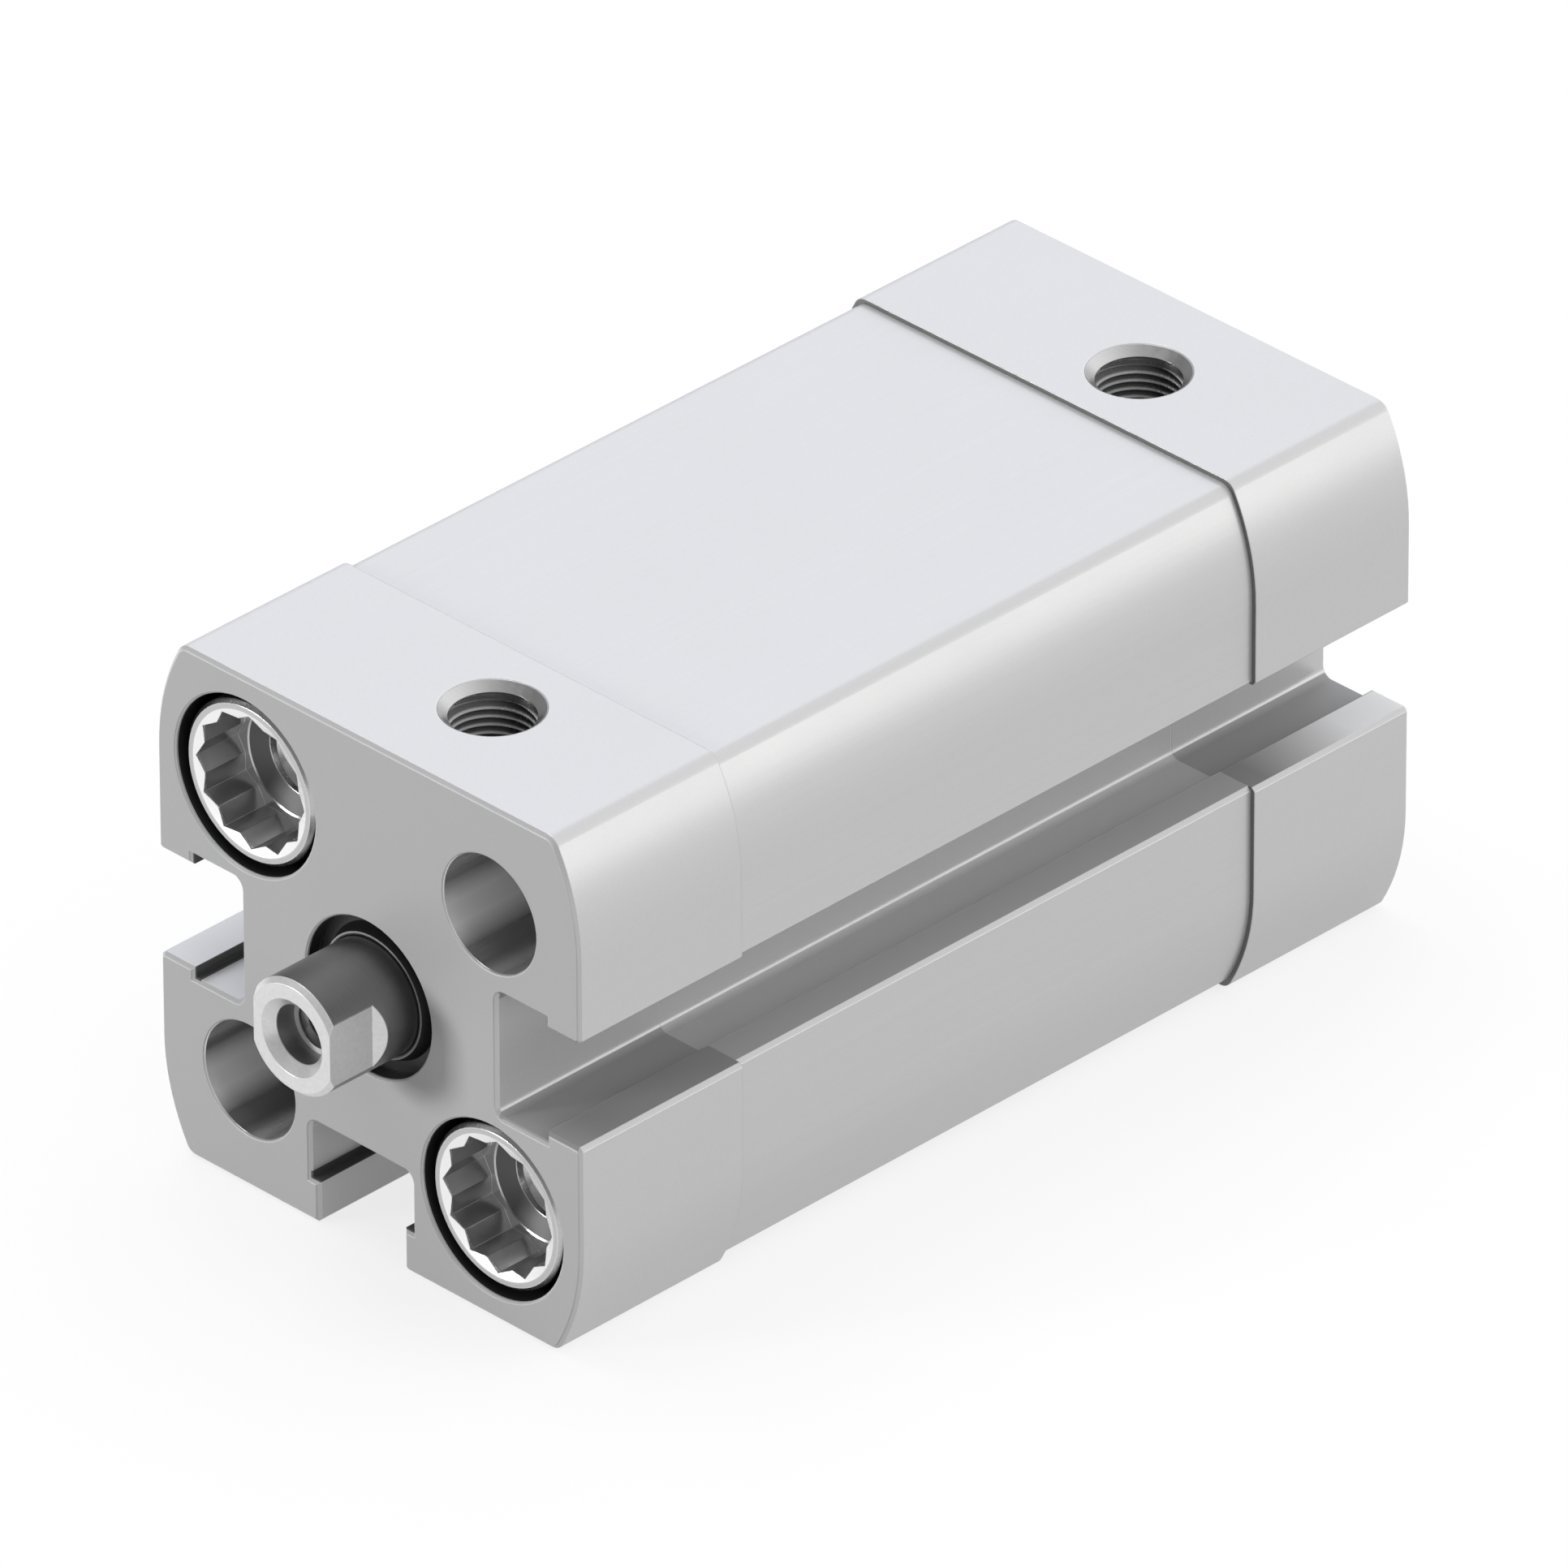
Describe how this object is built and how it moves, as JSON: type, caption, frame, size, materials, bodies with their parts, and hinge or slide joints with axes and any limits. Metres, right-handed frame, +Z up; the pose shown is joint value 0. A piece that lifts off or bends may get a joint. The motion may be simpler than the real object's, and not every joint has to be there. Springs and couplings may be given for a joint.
{
  "type": "compact pneumatic cylinder",
  "caption": "Compact pneumatic cylinder: square slotted aluminium body, end caps with threaded air ports, collar screws and a sliding piston rod with a female thread.",
  "frame": {"origin": "on the rod axis in the front mounting face", "axes": "+X right seen from the rod end, +Y from the rod end to the rear, +Z up through the ports"},
  "size_m": [0.0276, 0.0598, 0.0276],
  "materials": {
    "barrel_aluminium": "satin clear anodised extrusion",
    "cap_aluminium": "satin clear anodised",
    "plated_steel": "bright zinc plated",
    "bearing_bronze": "sintered",
    "black_rubber": "matte",
    "cushion_rubber": "matte",
    "piston_aluminium": "turned",
    "bonded_magnet": "plastic bonded ferrite",
    "guide_plastic": "natural acetal",
    "seal_polyurethane": "smooth",
    "rod_steel": "ground and rolled",
    "nut_steel": "zinc plated"
  },
  "bodies": {
    "housing": {"cylinder_barrel": "barrel_aluminium", "bearing_cap": "cap_aluminium", "end_cap": "cap_aluminium", "front_collar_screws": "plated_steel", "rear_collar_screws": "plated_steel", "rod_bearing_bush": "bearing_bronze", "rod_wiper_seal": "black_rubber", "front_joint_seal": "black_rubber", "rear_joint_seal": "black_rubber", "front_cushion_ring": "cushion_rubber", "rear_cushion_ring": "cushion_rubber"},
    "piston_carriage": {"piston_guide_ring": "guide_plastic", "front_piston_seal": "seal_polyurethane", "rear_piston_seal": "seal_polyurethane"},
    "rod_set": {"piston_rod": "rod_steel", "front_piston_disc": "piston_aluminium", "rear_piston_disc": "piston_aluminium", "piston_magnet": "bonded_magnet", "piston_static_seal": "black_rubber", "piston_nut": "nut_steel"}
  },
  "joints": [
    {"name": "rod_stroke", "type": "slide", "parent": "housing", "child": "piston_carriage", "axis": [0, -1, 0], "range_m": [0, 0.02]},
    {"name": "rod_turn", "type": "hinge", "parent": "piston_carriage", "child": "rod_set", "pos_m": [0, 0, 0], "axis": [0, -1, 0], "continuous": true}
  ]
}
